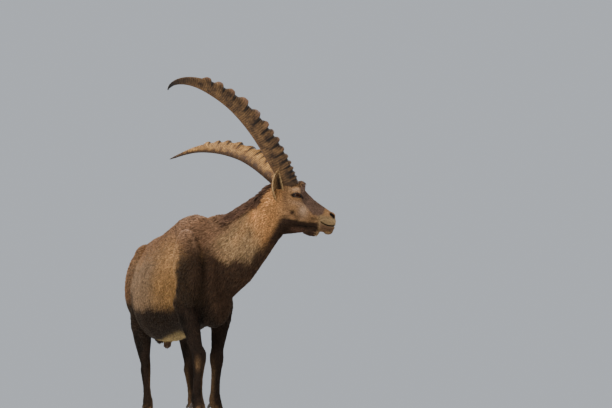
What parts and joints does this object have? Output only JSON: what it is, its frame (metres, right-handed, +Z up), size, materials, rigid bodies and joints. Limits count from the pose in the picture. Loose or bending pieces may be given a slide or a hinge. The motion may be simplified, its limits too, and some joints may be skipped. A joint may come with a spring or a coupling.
{
  "type": "alpine ibex",
  "caption": "Still, life-size adult male alpine ibex standing on all its hooves, head turned to its left, with long knobbed horns swept back.",
  "frame": {"origin": "on the floor under the middle of the bounding box", "axes": "+X the way the body faces, +Y its left side, +Z up"},
  "size_m": [1.4948, 0.8244, 1.3335],
  "materials": {
    "coat": "short dense summer fur, warm tan to brown",
    "leg_coat": "short blackish brown fur",
    "head_coat": "very short fur, tan round the eye, dark jaw",
    "ear_coat": "very short tan fur with a pale rim",
    "tail_coat": "longer dark brown hair",
    "horn": "ridged keratin, knobbed in front, darker at the tip",
    "hoof": "dark worn keratin",
    "eye": "glossy dark amber eye with a flat dark pupil"
  },
  "bodies": {
    "root": {"torso": "coat", "neck": "coat", "head": "head_coat", "tail": "tail_coat", "ear_left": "ear_coat", "eye_left": "eye", "horn_left": "horn", "ear_right": "ear_coat", "eye_right": "eye", "horn_right": "horn", "fore_leg_left": "leg_coat", "fore_cannon_left": "leg_coat", "fore_hoof_left_inner": "hoof", "fore_dewclaw_left_inner": "hoof", "fore_hoof_left_outer": "hoof", "fore_dewclaw_left_outer": "hoof", "fore_leg_right": "leg_coat", "fore_cannon_right": "leg_coat", "fore_hoof_right_inner": "hoof", "fore_dewclaw_right_inner": "hoof", "fore_hoof_right_outer": "hoof", "fore_dewclaw_right_outer": "hoof", "hind_leg_left": "leg_coat", "hind_cannon_left": "leg_coat", "hind_hoof_left_inner": "hoof", "hind_dewclaw_left_inner": "hoof", "hind_hoof_left_outer": "hoof", "hind_dewclaw_left_outer": "hoof", "hind_leg_right": "leg_coat", "hind_cannon_right": "leg_coat", "hind_hoof_right_inner": "hoof", "hind_dewclaw_right_inner": "hoof", "hind_hoof_right_outer": "hoof", "hind_dewclaw_right_outer": "hoof"}
  },
  "joints": []
}
